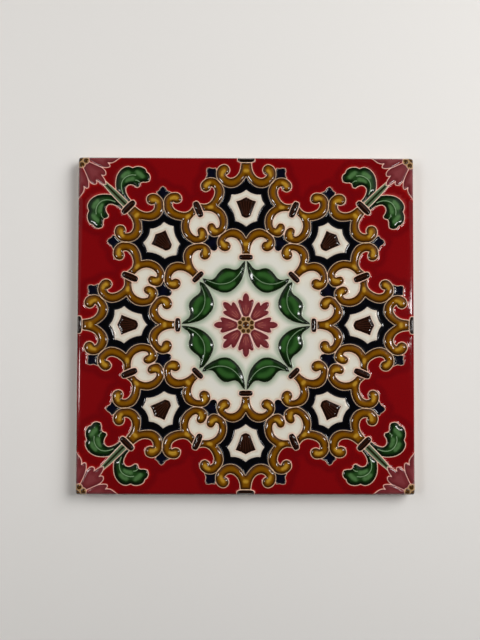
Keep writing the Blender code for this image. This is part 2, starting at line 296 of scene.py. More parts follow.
@dataclass(frozen=True)
class BiscuitFinish:
    """Bare fired body, matt and slightly gritty, with or without a run of red glaze.

    The eye gets buff earthenware with fine grog, and on the sides the wavering lower
    edge of the glaze that ran over the rounded rim.
    """

    name: Glaze
    body: str = "CDAE8C"
    dark: str = "B08D6C"
    roughness: float = 0.85
    # The real grit is finer than this: it is drawn as coarse as it needs to show
    grog_mm: float = 1.1
    grog_depth_mm: float = 0.08
    glaze: str = "6E070C"
    glaze_roughness: float = 0.12
    # Height at which the run ends, how far that wavers, over what length, and its blur
    run_mm: float = 5.6
    waver_mm: float = 1.4
    wave_mm: float = 7.0
    blur_mm: float = 0.15

    def material(self) -> bpy.types.Material:
        """Build the material.

        Returns:
            A matt clay; the side's one turns to red glaze near the rim.
        """
        made, tree, shader = start_material(self.name.value)
        place = add_node(tree, "ShaderNodeTexCoord").outputs["Object"]
        grog = add_node(tree, "ShaderNodeTexNoise", {}, {
            "Vector": place, "Scale": 1.0 / (self.grog_mm * MM), "Detail": 6.0, "Roughness": 0.65})
        clay = add_node(tree, "ShaderNodeValToRGB", {
            "stops": [(0.35, linear(self.dark)), (0.62, linear(self.body))]}, {
            "Fac": grog.outputs["Fac"]})
        tone = clay.outputs["Color"]
        shader.inputs["Roughness"].default_value = self.roughness
        if self.name is Glaze.SIDE:
            tone = self._run(tree, shader, place, tone)
        tree.links.new(tone, shader.inputs["Base Color"])
        bump = add_node(tree, "ShaderNodeBump", {}, {
            "Height": grog.outputs["Fac"], "Distance": self.grog_depth_mm * MM, "Strength": 0.7})
        tree.links.new(bump.outputs["Normal"], shader.inputs["Normal"])
        return made

    def _run(self, tree: bpy.types.NodeTree, shader: bpy.types.Node, place: bpy.types.NodeSocket,
             tone: bpy.types.NodeSocket) -> bpy.types.NodeSocket:
        """Let the front's glaze run down over the clay, and make it glossy there.

        Args:
            tree: the material's nodes.
            shader: its Principled shader.
            place: place on the tile.
            tone: colour of the clay.

        Returns:
            The colour with the run in it.
        """
        height = add_node(tree, "ShaderNodeSeparateXYZ", {}, {"Vector": place}).outputs["Z"]
        wave = add_node(tree, "ShaderNodeTexNoise", {}, {
            "Vector": place, "Scale": 1.0 / (self.wave_mm * MM), "Detail": 2.0})
        low = add_node(tree, "ShaderNodeMath", {"operation": "MULTIPLY_ADD"}, {
            0: wave.outputs["Fac"], 1: -2.0 * self.waver_mm * MM, 2: height})
        end = self.run_mm - self.waver_mm
        glazed = add_node(tree, "ShaderNodeMapRange", {"interpolation_type": "SMOOTHSTEP"}, {
            "Value": low.outputs[0], "From Min": (end - self.blur_mm) * MM,
            "From Max": (end + self.blur_mm) * MM}).outputs["Result"]
        rough = add_node(tree, "ShaderNodeMapRange", {}, {
            "Value": glazed, "To Min": self.roughness, "To Max": self.glaze_roughness})
        tree.links.new(rough.outputs["Result"], shader.inputs["Roughness"])
        mixed = add_node(tree, "ShaderNodeMix", {"data_type": "RGBA"}, {
            "Factor": glazed, 6: tone, 7: linear(self.glaze)})
        return mixed.outputs[2]


FINISHES: tuple[GlazeFinish | BiscuitFinish, ...] = (
    # Oxblood red, deep and wet, a little brighter over the open ground. Its lighter tone just beside the
    # lines is painted reflection of the window in the glaze that rises to them
    GlazeFinish(Glaze.RED, ((0.25, "8A120E"), (0.8, "760507"), (1.6, "6A0306"), (3.6, "660308"),
                            (6.0, "750509")),
                drift_mm=14.0, drift=0.5, roughness=0.09, clay="E8B8A2"),
    # Cobalt so thick that it looks black, with a breath of blue in the small pools
    GlazeFinish(Glaze.NAVY, ((0.25, "101120"), (0.7, "05060E"), (1.4, "020203"), (2.5, "020203")),
                top_colour="060716", top_inside_mm=(0.2, 0.8), clay="8A7862"),
    # Opaque tin white that turns pale green beside the leaves, and grey beside the lines, partly where it
    # pools and partly as painted shade of the raised lines
    GlazeFinish(Glaze.WHITE, ((0.25, "BCA592"), (0.7, "C8BCA9"), (1.4, "CEC8B9"), (4.0, "CFCCC1")),
                drift=0.3, drift_mm=5.0, clay="E6BDB0", tint="88A08A"),
    # The same white round the bells, creamier at its edge, partly where it pools and partly as painted
    # shade beside the raised line
    GlazeFinish(Glaze.STAR, ((0.25, "C0B1A0"), (0.7, "C9BEAD"), (1.4, "CEC9BB"), (4.0, "CFCCC1")),
                drift=0.3, drift_mm=5.0, clay="CFC9BC"),
    # Clear honey glaze, brown where it pools beside the lines and gold on the high clay
    GlazeFinish(Glaze.AMBER, ((0.25, "2A1503"), (0.8, "3C2003"), (1.5, "5E3702"), (2.3, "734802")),
                drift=0.3, drift_mm=3.0, top_colour="A57C25", top_mm=(1.7, 0.4), clay="E2BC96"),
    # Manganese brown, nearly black; its paler flutes and knot ribs are painted highlight, the light that
    # these raised ribs catch
    GlazeFinish(Glaze.BROWN, ((0.25, "120602"), (0.8, "160702"), (1.4, "1D0A03"), (2.6, "1A0903")),
                rib_colour="33190F", rib_mm=(0.3, 0.08)),
    # Copper green of the corner leaves, pale on the lobes and almost black at their foot
    GlazeFinish(Glaze.GREEN, ((0.25, "0A1205"), (1.3, "091605"), (2.3, "122C0C"), (3.2, "1B3A14")),
                drift=0.2, drift_mm=4.0, rib_colour="748F6A", rib_mm=(0.36, 0.08),
                top_colour="46693C", top_mm=(2.0, 0.4), top_inside_mm=(1.1, 2.8)),
    # Thicker copper green of the wreath, with one pale vein in each leaf
    GlazeFinish(Glaze.WREATH, ((0.25, "081204"), (0.9, "0A1A05"), (2.0, "0D2307"), (3.4, "12300D")),
                drift=0.2, drift_mm=4.0, rib_colour="6C8264", rib_mm=(0.34, 0.08),
                top_colour="2A5021", top_mm=(2.6, 0.4), top_inside_mm=(0.6, 2.4), clay="121B0D"),
    # Green over the stems' clay, dark along the middle where it pools; its pale sides are partly thin
    # glaze and partly painted highlight of the lamps on the stem's two bars
    GlazeFinish(Glaze.STEM, ((0.25, "687458"), (0.7, "5A6A50"), (1.6, "485A40")),
                rib_colour="1C1E08", rib_mm=(0.9, 0.35)),
    # Rose pink with a softer gloss and faint warm streaks
    GlazeFinish(Glaze.ROSE, ((0.25, "561C20"), (0.8, "622226"), (2.2, "6C292C"), (3.2, "743235")),
                drift=0.25, drift_mm=3.0, roughness=0.14, rib_colour="8E4A42", rib_mm=(0.42, 0.08),
                clay="E4AFA6"),
    # Olive gold over the clay rings of the flowers' eyes, dark inside them
    GlazeFinish(Glaze.OLIVE, ((0.25, "4A2C0C"), (0.6, "301804"), (1.1, "4A2E0A"), (1.7, "6E521E")),
                clay="AE8A5C", top_colour="3A1400", top_mm=(1.7, 0.4), top_inside_mm=(0.15, 0.5)),
    BiscuitFinish(Glaze.SIDE, roughness=0.82),
    BiscuitFinish(Glaze.BACK),
)


def smooth(points: Iterable[Point], step: float) -> Line:
    """Draw a smooth curve through points.

    Args:
        points: points to pass through, in millimetres.
        step: wanted spacing of the result.

    Returns:
        Points on the curve, both ends included.
    """
    fixed = list(points)
    padded = [fixed[0]] + fixed + [fixed[-1]]
    drawn: Line = []
    for before, start, end, after in zip(padded, padded[1:], padded[2:], padded[3:]):
        count = max(1, round(math.dist(start, end) / step))
        for index in range(count):
            t = index / count
            spot = []
            for a, b, c, d in zip(before, start, end, after):
                leave = (c - a) / 2.0 if before != start else c - b
                arrive = (d - b) / 2.0 if end != after else c - b
                spot.append((2 * t ** 3 - 3 * t ** 2 + 1) * b + (t ** 3 - 2 * t ** 2 + t) * leave
                            + (3 * t ** 2 - 2 * t ** 3) * c + (t ** 3 - t ** 2) * arrive)
            drawn.append((spot[0], spot[1]))
    drawn.append(fixed[-1])
    return drawn


def joined(runs: Runs, step: float) -> Line:
    """Join smooth runs, each ending in a corner.

    Args:
        runs: groups of points; each run starts where the last one ends.
        step: wanted spacing of the result.

    Returns:
        One open line through all the runs.
    """
    line: Line = []
    for run in runs:
        line += smooth(run, step)[1 if line else 0:]
    return line


def turned(line: Line, degrees: float) -> Line:
    """Turn a line anticlockwise about the tile's centre."""
    cos_t, sin_t = math.cos(math.radians(degrees)), math.sin(math.radians(degrees))
    return [(x * cos_t - y * sin_t, x * sin_t + y * cos_t) for x, y in line]


def mirrored(line: Line) -> Line:
    """Mirror a line about the frame's Y axis."""
    return [(-x, y) for x, y in line]


def pair(line: Iterable[Point]) -> list[Line]:
    """Give a line and its mirror image about the frame's Y axis."""
    return [list(line), mirrored(list(line))]


def whole(runs: Runs, step: float) -> Line:
    """Close an outline given by its right-hand half.

    Args:
        runs: the half outline, from the axis to the axis.
        step: wanted spacing.

    Returns:
        The whole outline, without its first point repeated.
    """
    half = joined(runs, step)
    return half + mirrored(half[::-1])[1:-1]


def ring(x: float, y: float, radius: float, count: int) -> Line:
    """Regular closed outline of a round form."""
    turns = [2.0 * math.pi * index / count for index in range(count)]
    return [(x + radius * math.cos(turn), y + radius * math.sin(turn)) for turn in turns]


def bar(y: float, half_length: float, half_width: float, blunt: float = 0.62, count: int = 36) -> Line:
    """Closed outline of a bar with rounded ends that lies across the axis.

    Args:
        y: distance of its middle from the tile's centre.
        half_length: half of its length.
        half_width: half of its width.
        blunt: how square its ends are; one gives an ellipse, and less is squarer.
        count: number of points.

    Returns:
        The bar's outline.
    """
    outline: Line = []
    for index in range(count):
        turn = 2.0 * math.pi * (index + 0.5) / count
        along = math.copysign(abs(math.cos(turn)) ** blunt, math.cos(turn))
        across = math.copysign(abs(math.sin(turn)) ** blunt, math.sin(turn))
        outline.append((half_length * along, y + half_width * across))
    return outline


def inside(point: Point, outline: Line) -> bool:
    """Tell whether a point lies inside a closed outline.

    Args:
        point: the point.
        outline: the outline.

    Returns:
        True where it does.
    """
    x, y = point
    hit = False
    x0, y0 = outline[-1]
    for x1, y1 in outline:
        if (y0 > y) != (y1 > y) and x < (x1 - x0) * (y - y0) / (y1 - y0) + x0:
            hit = not hit
        x0, y0 = x1, y1
    return hit


@dataclass(frozen=True)
class Relief:
    """Height of a cell's glaze over the plain ground, in millimetres.

    rim is its height at the raised line, crown its height from reach inwards.
    """

    rim: float
    crown: float
    reach: float


class Kind(Enum):
    """Kinds of cell, with the glaze and the relief of each, from the top one down."""

    BEAD = (Glaze.OLIVE, Relief(0.45, 0.6, 1.0))
    KNOT = (Glaze.BROWN, Relief(0.4, 1.12, 1.3))
    BELL = (Glaze.BROWN, Relief(0.3, 0.6, 2.2))
    STAR = (Glaze.STAR, Relief(0.42, 0.55, 1.2))
    SCROLL = (Glaze.AMBER, Relief(0.28, 1.0, 2.4))
    WREATH = (Glaze.WREATH, Relief(0.2, 1.0, 3.4))
    LEAF = (Glaze.GREEN, Relief(0.2, 0.95, 3.2))
    PETAL = (Glaze.ROSE, Relief(0.3, 0.55, 1.6))
    STEM = (Glaze.STEM, Relief(0.4, 0.45, 0.9))
    NAVY = (Glaze.NAVY, Relief(0.1, -0.12, 1.2))
    WHITE = (Glaze.WHITE, Relief(0.3, 0.1, 2.2))
    RED = (Glaze.RED, Relief(0.14, 0.0, 1.2))

    @property
    def glaze(self) -> Glaze:
        """The glaze that fills the cell."""
        return self.value[0]

    @property
    def relief(self) -> Relief:
        """The cell's heights."""
        return self.value[1]


@dataclass
class Cell:
    """A pool of one glaze inside a closed outline."""

    kind: Kind
    outline: Line

    def __post_init__(self) -> None:
        """Keep the outline's box for a quick test."""
        xs, ys = [x for x, _ in self.outline], [y for _, y in self.outline]
        self.box = (min(xs), max(xs), min(ys), max(ys))

    def holds(self, point: Point) -> bool:
        """Tell whether a point lies in the cell.

        Args:
            point: the point.

        Returns:
            True where it does.
        """
        low_x, high_x, low_y, high_y = self.box
        near = low_x <= point[0] <= high_x and low_y <= point[1] <= high_y
        return near and inside(point, self.outline)


@dataclass
class Drawing:
    """Cells of a part of the pattern, with its raised lines, ribs and high spots."""

    cells: list[Cell] = field(default_factory=list)
    lines: list[Line] = field(default_factory=list)
    ribs: list[Line] = field(default_factory=list)
    tops: list[Line] = field(default_factory=list)

    def cell(self, kind: Kind, outline: Line, lined: bool = True) -> None:
        """Add a cell.

        Args:
            kind: what fills it.
            outline: its closed outline.
            lined: whether a raised line runs round it.
        """
        self.cells.append(Cell(kind, outline))
        if lined:
            self.lines.append(outline + outline[:1])

    def both(self, kind: Kind, outline: Line) -> None:
        """Add a cell with no line round it, and its mirror image about the axis."""
        self.cells += [Cell(kind, side) for side in pair(outline)]

    def rooted(self, kind: Kind, runs: Runs, root: Point, step: float) -> None:
        """Add a cell whose raised line is open where it grows out of another cell.

        Args:
            kind: what fills it.
            runs: its right-hand half, from the root to the axis.
            root: a point on the axis under the other cell.
            step: wanted spacing.
        """
        half = joined(runs, step)
        line = half + mirrored(half[::-1])[1:]
        self.cell(kind, line + [root], False)
        self.lines.append(line)

    def placed(self, place: Callable[[Line], Line]) -> "Drawing":
        """Copy the drawing to another place.

        Args:
            place: gives a line's new place.

        Returns:
            The copy.
        """
        return Drawing([Cell(cell.kind, place(cell.outline)) for cell in self.cells],
                       *([place(line) for line in group] for group in (self.lines, self.ribs, self.tops)))

    def rotated(self, degrees: float) -> "Drawing":
        """Copy the drawing, turned anticlockwise about the tile's centre."""
        return self.placed(lambda line: turned(line, degrees))

    def scaled(self, share: float) -> "Drawing":
        """Copy the drawing at a share of its size, about the tile's centre."""
        return self.placed(lambda line: [(x * share, y * share) for x, y in line])

    def add(self, other: "Drawing") -> None:
        """Take over another drawing's cells and lines.

        Args:
            other: the other drawing.
        """
        self.cells += other.cells
        self.lines += other.lines
        self.ribs += other.ribs
        self.tops += other.tops


@dataclass
class Medallion:
    """Ring of four scroll pairs round a star with a bell, centred 70 mm from the tile's centre.

    It is drawn on the Y axis. An outline gives the right-hand half, run by run, and each
    run ends in a corner. The tops are the high spots of the scrolls and the finial.
    """

    step: float
    outer_scroll: Runs = (
        ((0.0, 97.3), (3.1, 97.3)),
        ((3.1, 97.3), (3.35, 95.2), (3.7, 93.2), (4.6, 91.0), (5.9, 89.4), (7.6, 88.3), (9.6, 88.0),
         (11.2, 88.7), (12.2, 89.8)),
        ((12.2, 89.8), (11.0, 90.4), (10.2, 91.5), (9.8, 92.9), (10.2, 94.4), (11.3, 95.7), (12.8, 96.3),
         (14.4, 96.1), (16.1, 95.1), (17.3, 93.5), (17.9, 91.4), (17.8, 89.0), (16.9, 86.8),
         (15.6, 85.2), (13.6, 83.6), (11.3, 82.5), (8.6, 82.2), (6.0, 82.8), (3.9, 84.1),
         (2.0, 86.1), (0.0, 88.9)))
    side_scroll: Runs = (
        ((17.1, 71.2), (15.8, 72.7), (14.3, 75.2), (13.4, 77.9), (13.2, 80.4), (13.8, 82.5),
         (15.0, 84.7), (16.7, 86.6), (18.8, 87.9), (21.0, 88.3), (23.2, 88.0), (25.1, 86.9),
         (26.7, 85.3), (27.3, 83.5), (27.0, 81.8), (26.0, 80.4), (24.4, 79.7), (22.9, 80.1),
         (21.6, 81.2), (21.0, 82.9)),
        ((21.0, 82.9), (19.5, 81.9), (18.8, 79.9), (19.1, 77.8), (20.1, 75.6), (21.7, 73.6),
         (23.8, 72.5), (26.0, 72.4), (27.6, 72.7)),
        ((27.6, 72.7), (25.6, 67.9)),
        ((25.6, 67.9), (23.4, 68.0), (21.3, 67.7), (19.4, 66.9), (17.8, 65.6), (16.7, 63.8),
         (16.1, 61.9), (16.1, 60.0), (16.6, 58.6), (17.6, 58.1)),
        ((17.5, 57.8), (18.2, 59.3), (19.3, 60.7), (20.8, 61.1), (22.4, 60.5), (23.3, 58.9),
         (23.3, 56.9), (22.4, 54.9), (21.2, 53.4), (19.6, 52.7), (17.6, 52.8), (15.6, 53.7),
         (13.7, 55.0), (12.3, 56.6), (11.6, 58.6), (11.2, 61.0), (11.3, 63.3), (11.9, 65.5),
         (13.0, 67.6), (14.7, 69.5), (17.1, 71.2)))
    inner_scroll: Runs = (
        ((0.0, 51.9), (0.9, 53.5), (2.1, 55.1), (3.7, 56.4), (5.7, 57.3), (7.9, 57.6), (10.0, 57.2),
         (12.0, 56.2), (13.7, 55.0), (15.4, 53.6), (16.7, 51.8), (17.3, 49.7), (17.1, 47.6),
         (16.3, 45.8), (14.8, 44.5), (12.9, 43.8), (11.0, 44.1), (9.6, 45.2), (9.0, 46.9),
         (9.4, 48.6), (10.6, 49.8), (12.3, 50.3)),
        ((12.3, 50.3), (11.4, 51.4), (9.8, 52.1), (7.9, 52.1), (6.1, 51.4), (4.6, 50.1), (3.5, 48.3),
         (2.8, 46.2), (2.5, 44.2), (2.5, 42.4)),
        ((2.5, 42.4), (0.0, 42.4)))
    star: Runs = (
        ((0.0, 80.9), (2.0, 79.4), (4.2, 78.5), (6.3, 78.0), (8.7, 78.0)),
        ((8.7, 78.0), (9.0, 76.3), (9.7, 74.3), (10.9, 72.4)),
        ((10.9, 72.4), (9.2, 70.4), (7.8, 68.0), (6.8, 65.1), (6.2, 62.2)),
        ((6.2, 62.2), (4.1, 61.6), (2.0, 60.5), (0.0, 59.0)))
    bell: Runs = (
        ((0.0, 76.8), (1.8, 75.9), (3.6, 75.0), (6.3, 74.2)),
        ((6.3, 74.2), (5.3, 71.8), (4.4, 69.5), (3.5, 67.1), (2.8, 65.1)),
        ((2.8, 65.1), (1.4, 64.2), (0.0, 63.8)))
    flutes: Runs = (
        ((0.0, 74.9), (0.0, 65.2)),
        ((1.6, 74.2), (1.2, 70.0), (0.7, 66.0)),
        ((3.3, 73.6), (2.4, 69.8), (1.4, 66.2)))
    finial: Runs = (
        ((17.8, 92.7), (18.2, 94.1)),
        ((18.2, 94.1), (20.1, 93.8), (21.8, 94.2), (23.4, 93.9)),
        ((23.4, 93.9), (23.8, 92.2), (23.4, 90.4), (24.3, 87.9)))
    tops: Runs = (
        ((-0.6, 92.4), (0.6, 92.4)), ((-0.5, 48.3), (0.5, 48.3)),
        ((13.2, 92.3), (14.0, 91.2), (14.3, 89.6)), ((21.8, 84.8), (23.2, 84.3), (24.0, 83.2)),
        ((20.7, 70.4), (21.9, 70.2)), ((17.8, 56.3), (19.2, 56.6), (20.2, 57.3)),
        ((14.2, 49.6), (13.7, 48.2), (12.9, 47.3)), ((20.9, 91.6), (21.0, 90.4)))
    # Under the scrolls: the root of the finial, the navy well and the white ground
    finial_root: tuple[Point, ...] = ((21.0, 86.0), (17.0, 86.6), (16.5, 90.0))
    well: tuple[Point, ...] = (
        (0.0, 92.0), (8.0, 85.0), (15.0, 86.0), (15.5, 78.0), (21.0, 71.0), (13.3, 63.0),
        (13.2, 56.9), (8.0, 55.0), (0.0, 48.5))
    ground: tuple[Point, ...] = (
        (0.0, 0.0), (0.0, 50.0), (8.0, 55.0), (13.0, 57.0), (12.8, 60.0), (13.5, 66.0),
        (21.4, 70.0), (28.6, 69.1), (30.0, 68.0), (1.0, 0.0))
    # Navy gap between two medallions: its raised foot, its other sides and its high spot
    foot: tuple[Point, ...] = (
        (-2.4, 49.9), (-1.8, 48.9), (-0.9, 48.1), (0.0, 47.9), (0.9, 48.1), (1.8, 48.9), (2.4, 49.9))
    gap: tuple[Point, ...] = (
        (4.2, 52.5), (5.2, 55.3), (1.5, 58.2), (-1.5, 58.2), (-5.2, 55.3), (-4.2, 52.5))
    gap_top: tuple[Point, ...] = ((-1.5, 53.0), (1.5, 53.0))
    # Knots: distance from the tile's centre, half length and half width, and the share of
    # the half length that the rib along the middle reaches
    outer_knot: tuple[float, float, float] = (99.4, 5.3, 2.05)
    inner_knot: tuple[float, float, float] = (40.5, 4.3, 1.85)
    side_knot: tuple[float, float, float] = (74.8, 5.2, 2.2)
    knot_rib: float = 0.62

    def drawing(self) -> Drawing:
        """Draw the medallion above the tile's centre.

        Returns:
            Its cells, raised lines, ribs and high spots.
        """
        drawn = Drawing()
        for away, half_length, half_width in (self.outer_knot, self.inner_knot):
            drawn.cell(Kind.KNOT, bar(away, half_length, half_width))
            reach = self.knot_rib * half_length
            drawn.ribs.append(smooth([(-reach, away), (0.0, away), (reach, away)], self.step))
        drawn.cell(Kind.BELL, whole(self.bell, self.step))
        for flute in self.flutes:
            drawn.ribs += pair(smooth(flute, self.step))
        drawn.cell(Kind.STAR, whole(self.star, self.step))
        self._scrolls(drawn)
        for top in self.tops:
            drawn.tops += pair(top)
        finial = joined(self.finial, self.step)
        drawn.lines += pair(finial)
        drawn.both(Kind.NAVY, finial + list(self.finial_root))
        drawn.cell(Kind.NAVY, list(self.well) + mirrored(list(self.well)[::-1])[1:-1], False)
        drawn.both(Kind.WHITE, list(self.ground))
        return drawn

    def _scrolls(self, drawn: Drawing) -> None:
        """Add the scrolls, whose raised lines leave out the runs that lie under the knots.

        Args:
            drawn: the drawing that takes them.
        """
        drawn.cell(Kind.SCROLL, whole(self.outer_scroll, self.step), False)
        drawn.cell(Kind.SCROLL, whole(self.inner_scroll, self.step), False)
        drawn.both(Kind.SCROLL, joined(self.side_scroll, self.step)[:-1])
        outer = joined(self.outer_scroll[1:], self.step)
        inner = joined(self.inner_scroll[:-1], self.step)
        drawn.lines += [outer + mirrored(outer[::-1])[1:], mirrored(inner[::-1])[:-1] + inner]
        drawn.lines += pair(joined(self.side_scroll[3:] + self.side_scroll[:2], self.step))

    def between(self) -> Drawing:
        """Draw what stands between this medallion and the next one to its right.

        Returns:
            The knot that ties their scrolls, and the navy gap below it.
        """
        drawn = Drawing()
        away, half_length, half_width = self.side_knot
        reach = self.knot_rib * half_length
        drawn.cell(Kind.KNOT, [(y, away + x) for x, y in bar(0.0, half_length, half_width)])
        drawn.ribs.append(smooth([(0.0, away - reach), (0.0, away + reach)], self.step))
        foot = smooth(self.foot, self.step)
        drawn.lines.append(foot)
        drawn.cell(Kind.NAVY, foot + list(self.gap), False)
        drawn.tops.append(list(self.gap_top))
        return drawn.rotated(-22.5)


@dataclass
class LeafWreath:
    """Leaves round the middle; each runs from an inner knot to the tip of its neighbour."""

    step: float
    leaf: Runs = (
        ((0.5, 38.4), (1.7, 37.5), (2.9, 35.9), (4.2, 34.2), (5.9, 33.2), (7.9, 33.2), (9.8, 33.8),
         (11.6, 34.0), (13.4, 33.6), (15.1, 32.4), (16.8, 30.6), (18.3, 28.5), (20.1, 27.2),
         (22.2, 27.1), (24.2, 27.6), (25.9, 27.7)),
        ((25.9, 27.7), (24.8, 25.1), (22.7, 23.4), (20.3, 21.8), (17.8, 20.6), (15.0, 19.5),
         (12.1, 19.2), (9.5, 19.8), (7.2, 21.3), (5.0, 23.4), (3.2, 25.9), (1.9, 28.8), (1.1, 32.0),
         (0.6, 35.2), (0.5, 38.4)))
    ribs: Runs = (
        ((1.9, 34.2), (3.6, 31.0), (5.4, 28.7), (7.4, 26.9), (9.6, 25.5), (12.0, 24.7), (14.4, 24.4),
         (17.0, 24.5), (19.4, 25.1), (21.6, 26.0), (23.4, 26.8)),)
    tops: Runs = (((8.2, 30.3), (10.8, 29.9), (13.2, 28.9), (15.6, 27.0)),
                  ((7.4, 24.2), (9.4, 22.9), (11.8, 22.2), (14.6, 22.1)))

    def drawing(self) -> Drawing:
        """Draw the leaf to the right of the axis.

        Returns:
            Its cell, outline, ribs and high spots.
        """
        drawn = Drawing()
        drawn.cell(Kind.WREATH, joined(self.leaf, self.step)[:-1])
        drawn.ribs += [smooth(rib, self.step) for rib in self.ribs]
        drawn.tops += [list(top) for top in self.tops]
        return drawn


@dataclass
class CentralFlower:
    """Flower with an eye of beads and petals that each end in three tips.

    The eye is one cell with a scalloped edge. Rings of clay part its middle and its beads.
    """

    step: float
    petal: Runs = (
        ((1.8, 5.0), (2.4, 6.5), (3.05, 8.0), (3.8, 10.0), (4.4, 12.0), (4.75, 13.4), (4.75, 14.4)),
        ((4.75, 14.4), (4.4, 15.2), (3.7, 15.4)),
        ((3.7, 15.4), (2.8, 15.1), (2.1, 14.5)),
        ((2.1, 14.5), (2.15, 15.6), (2.05, 16.7), (1.5, 18.0), (0.8, 18.9), (0.0, 19.2)))
    root: Point = (0.0, 3.4)
    streaks: Runs = (
        ((0.0, 6.6), (0.0, 11.6)), ((0.9, 7.4), (1.5, 10.2)), ((-0.9, 7.4), (-1.5, 10.2)))
    # Beads: how many, the turn and the distance of the first one, and their radius
    beads: int = 8
    first_bead: float = 22.5
    bead_away: float = 3.8
    bead_radius: float = 1.42
    # Eye: radius of its middle, and least radius and swell of its scalloped edge
    eye_radius: float = 2.15
    scallop: float = 4.6
    swell: float = 0.75
    # Points round the scalloped edge, the middle and a bead
    edge_points: int = 72
    eye_points: int = 20
    bead_points: int = 14

    def drawing(self) -> Drawing:
        """Draw one petal on the axis.

        Returns:
            Its cell, raised line and streaks.
        """
        drawn = Drawing()
        drawn.rooted(Kind.PETAL, self.petal, self.root, self.step)
        drawn.ribs += [smooth(streak, self.step) for streak in self.streaks]
        return drawn

    def eye(self, y: float, scale: float = 1.0) -> Drawing:
        """Draw the beads round a centre, inside one scalloped line.

        Args:
            y: place of the centre along the axis.
            scale: its size against the central one.

        Returns:
            The eye's cell and raised lines, with its middle as the high spot.
        """
        drawn = Drawing()
        first = math.radians(self.first_bead)
        outline: Line = []
        for index in range(self.edge_points):
            turn = 2.0 * math.pi * index / self.edge_points
            away = scale * (self.scallop + self.swell * abs(math.cos(0.5 * self.beads * (turn - first))))
            outline.append((away * math.cos(turn), y + away * math.sin(turn)))
        drawn.cell(Kind.BEAD, outline)
        rings = [ring(0.0, y, scale * self.eye_radius, self.eye_points)]
        away = scale * self.bead_away
        for index in range(self.beads):
            turn = first + 2.0 * math.pi * index / self.beads
            rings.append(ring(away * math.cos(turn), y + away * math.sin(turn),
                              scale * self.bead_radius, self.bead_points))
        drawn.lines += [clay + clay[:1] for clay in rings]
        drawn.tops.append([(0.0, y)])
        return drawn


@dataclass
class CornerSpray:
    """Quarter flower in the corner, with a stem and two lobed leaves; +Y runs to the corner."""

    step: float
    # Distance of the tile's corner from its centre, and size of the eye there against the middle one
    corner: float = 100.0 * math.sqrt(2.0)
    eye_scale: float = 1.2
    petal: Runs = (
        ((2.2, 136.4), (2.7, 134.9), (3.2, 133.6), (3.9, 131.7), (4.7, 129.7), (5.4, 127.8),
         (5.6, 125.8), (5.2, 124.0), (4.0, 123.0), (2.9, 123.4), (2.2, 124.6)),
        ((2.2, 124.6), (1.9, 122.6), (1.3, 120.4), (0.0, 118.6)))
    root: Point = (0.0, 138.5)
    # The flower's two outer petals run off the tile, so only one side of each is drawn
    half_petal: Runs = (
        ((4.9, 129.2), (5.9, 127.5), (7.3, 125.8), (8.9, 124.7), (9.9, 125.3), (10.1, 127.2)),
        ((10.1, 127.2), (11.1, 125.9), (12.6, 125.0), (14.8, 124.5), (19.0, 124.2)))
    half_petal_root: tuple[Point, ...] = ((20.0, 124.3), (14.0, 136.0), (3.0, 137.5))
    leaf: Runs = (
        ((2.1, 112.2), (3.7, 114.2), (5.6, 116.0), (7.9, 117.6), (10.5, 118.5), (13.2, 118.7),
         (15.6, 118.1), (17.4, 116.8), (18.4, 114.6)),
        ((18.4, 114.6), (20.4, 113.7), (22.0, 112.2), (23.1, 110.2), (23.3, 108.2), (22.6, 106.7)),
        ((22.6, 106.7), (22.8, 104.9), (21.8, 103.0), (19.7, 101.8)),
        ((19.7, 101.8), (18.0, 102.7), (16.7, 104.0), (15.3, 104.7)),
        ((15.3, 104.7), (13.3, 103.6)),
        ((13.3, 103.6), (11.9, 104.3), (11.4, 106.3), (10.4, 108.1), (8.7, 109.0), (6.9, 108.7),
         (5.7, 107.5), (4.7, 105.4), (4.2, 103.4), (4.1, 101.4)))
    leaf_ribs: Runs = (
        ((3.4, 107.2), (4.5, 109.5), (6.2, 111.6), (8.4, 113.0), (10.8, 113.3), (13.2, 112.7),
         (15.2, 111.5), (16.6, 109.8)),
        ((14.3, 107.9), (15.1, 106.9), (15.3, 105.4)))
    tops: Runs = (
        ((18.3, 110.4), (18.8, 108.6), (18.8, 106.6)),
        ((10.4, 111.0), (12.2, 110.7), (13.8, 109.6)),
        ((10.6, 114.7), (12.6, 114.6), (14.4, 113.9)))
    stem: tuple[Point, ...] = ((2.1, 101.4), (2.0, 108.0), (1.8, 114.0), (1.4, 118.4), (1.3, 120.4))
    stem_rib: tuple[Point, ...] = ((0.0, 101.4), (0.0, 110.0), (0.0, 118.0))

    def drawing(self) -> Drawing:
        """Draw the spray.

        Returns:
            Its cells, raised lines, ribs and high spots.
        """
        drawn = Drawing()
        drawn.rooted(Kind.PETAL, self.petal, self.root, self.step)
        half = joined(self.half_petal, self.step)
        drawn.lines += pair(half)
        drawn.both(Kind.PETAL, half + list(self.half_petal_root))
        leaf = joined(self.leaf, self.step)
        drawn.lines += pair(leaf)
        drawn.both(Kind.LEAF, leaf + [self.stem[0]])
        for rib in self.leaf_ribs:
            drawn.ribs += pair(smooth(rib, self.step))
        for top in self.tops:
            drawn.tops += pair(top)
        side = smooth(self.stem, self.step)
        drawn.lines += pair(side)
        drawn.cell(Kind.STEM, side + mirrored(side[::-1]), False)
        drawn.ribs.append(smooth(self.stem_rib, self.step))
        return drawn


